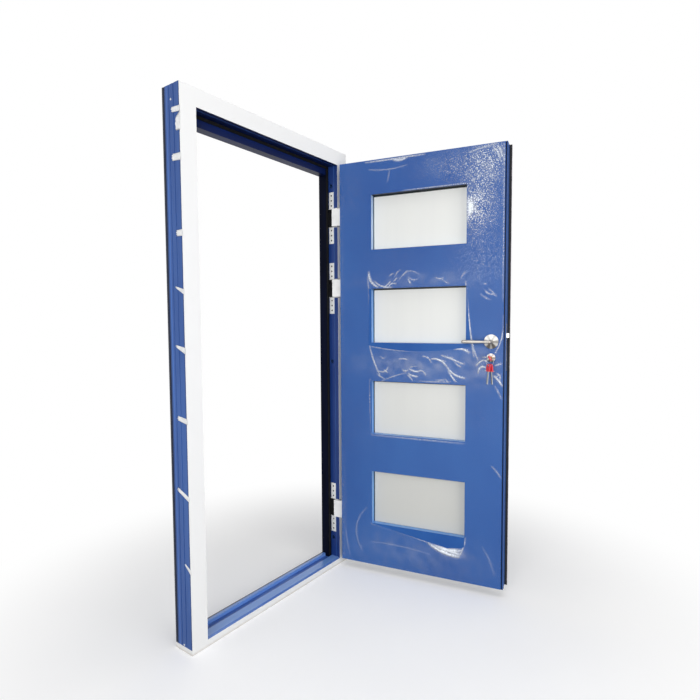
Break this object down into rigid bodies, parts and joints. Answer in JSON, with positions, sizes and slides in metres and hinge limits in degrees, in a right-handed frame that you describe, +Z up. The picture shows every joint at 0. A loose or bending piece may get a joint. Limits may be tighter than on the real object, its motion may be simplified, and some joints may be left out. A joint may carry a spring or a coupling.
{
  "type": "glass door with frame",
  "caption": "Outward-opening metal entrance door with frosted glass lites, lever handles, lock and keys, hung on concealed swan-neck hinges in a rebated frame with threshold.",
  "frame": {"origin": "middle of the threshold's underside, halfway through the frame's depth", "axes": "+Z up, +Y from the frame's covered front face to its back, +X towards the hinge side; the leaf stands open on the -Y side"},
  "size_m": [1.1467, 0.9192, 2.1],
  "materials": {
    "frame_blue": "satin powder coat",
    "threshold_blue": "satin powder coat",
    "leaf_blue": "satin powder coat under clear film",
    "stop_black": "matt black plastic profile",
    "seal_rubber": "matt black rubber",
    "sheet_white": "matt white protective sheet",
    "tape_white": "white adhesive tape",
    "frosted_glass": "frosted sealed unit",
    "hinge_silver": "satin zinc",
    "lever_nickel": "brushed nickel",
    "lock_steel": "bright zinc-plated steel",
    "screw_dark": "dark screw heads",
    "screw_white": "white screw heads",
    "plug_brass": "machined",
    "key_red": "red moulded bow on a steel blade",
    "core_foam": "rigid foam"
  },
  "bodies": {
    "frame": {"lock_jamb": "frame_blue", "hinge_jamb": "frame_blue", "frame_head": "frame_blue", "threshold": "threshold_blue", "lock_stop": "stop_black", "hinge_stop": "stop_black", "head_stop": "stop_black", "frame_seal": "seal_rubber", "strike_plate": "lock_steel", "hinge_housing_1": "hinge_silver", "hinge_housing_2": "hinge_silver", "hinge_housing_3": "hinge_silver", "hinge_pins": "lock_steel", "housing_screws": "screw_dark", "corner_screws": "screw_white", "lock_sheet": "sheet_white", "hinge_sheet": "sheet_white", "head_sheet": "sheet_white", "sill_sheet": "sheet_white", "tape_tabs": "tape_white"},
    "leaf": {"hinge_arm_1": "hinge_silver", "hinge_arm_2": "hinge_silver", "hinge_arm_3": "hinge_silver", "arm_screws": "screw_dark", "hinge_stile": "leaf_blue", "lock_stile": "leaf_blue", "top_rail": "leaf_blue", "bottom_rail": "leaf_blue", "leaf_core": "core_foam", "outside_skin": "leaf_blue", "inside_skin": "leaf_blue", "lock_edge_flap": "seal_rubber", "bottom_seal": "seal_rubber", "lite_frame_1": "leaf_blue", "lite_frame_2": "leaf_blue", "lite_frame_3": "leaf_blue", "lite_frame_4": "leaf_blue", "glass_1": "frosted_glass", "glass_2": "frosted_glass", "glass_3": "frosted_glass", "glass_4": "frosted_glass", "glazing_gaskets": "seal_rubber", "glazing_beads": "leaf_blue", "lock_case": "lock_steel", "faceplate": "lock_steel", "lock_screws": "screw_dark", "outside_rose": "lever_nickel", "inside_rose": "lever_nickel", "outside_escutcheon": "lever_nickel", "inside_escutcheon": "lever_nickel", "cylinder_body": "lock_steel"},
    "lever_set": {"outside_lever": "lever_nickel", "inside_lever": "lever_nickel", "spindle": "lock_steel"},
    "latch": {"latch_bolt": "lock_steel"},
    "bolt": {"dead_bolt": "lock_steel"},
    "plug": {"cylinder_plug": "plug_brass", "key": "key_red"},
    "key_bunch": {"key_ring": "lock_steel", "spare_keys": "key_red"}
  },
  "joints": [
    {"name": "leaf_swing", "type": "hinge", "parent": "frame", "child": "leaf", "pos_m": [0.432, -0.038, 1], "axis": [0, 0, 1], "range_deg": [-102, 10]},
    {"name": "lever_turn", "type": "hinge", "parent": "leaf", "child": "lever_set", "pos_m": [0.58216, -0.79737, 1.162], "axis": [-0.9781, -0.2079, 0], "range_deg": [0, 40], "stiffness_Nm_per_rad": 1.6, "springref_deg": -40.11},
    {"name": "latch_slide", "type": "slide", "parent": "leaf", "child": "latch", "axis": [-0.2079, 0.9781, 0], "range_m": [0, 0.011]},
    {"name": "key_turn", "type": "hinge", "parent": "leaf", "child": "plug", "pos_m": [0.58216, -0.79737, 1.09], "axis": [0.9781, 0.2079, 0], "range_deg": [0, 75]},
    {"name": "bolt_slide", "type": "slide", "parent": "leaf", "child": "bolt", "axis": [0.2079, -0.9781, 0], "range_m": [0, 0.02]},
    {"name": "bunch_hang", "type": "hinge", "parent": "plug", "child": "key_bunch", "pos_m": [0.58216, -0.79737, 1.09], "axis": [0.9781, 0.2079, 0], "range_deg": [-75, 0]}
  ],
  "couplings": [
    {"joint": "latch_slide", "follows": "lever_turn", "m_per_rad": 0.0157},
    {"joint": "key_turn", "follows": "bolt_slide", "rad_per_m": 65.45},
    {"joint": "bunch_hang", "follows": "bolt_slide", "rad_per_m": -65.45}
  ]
}
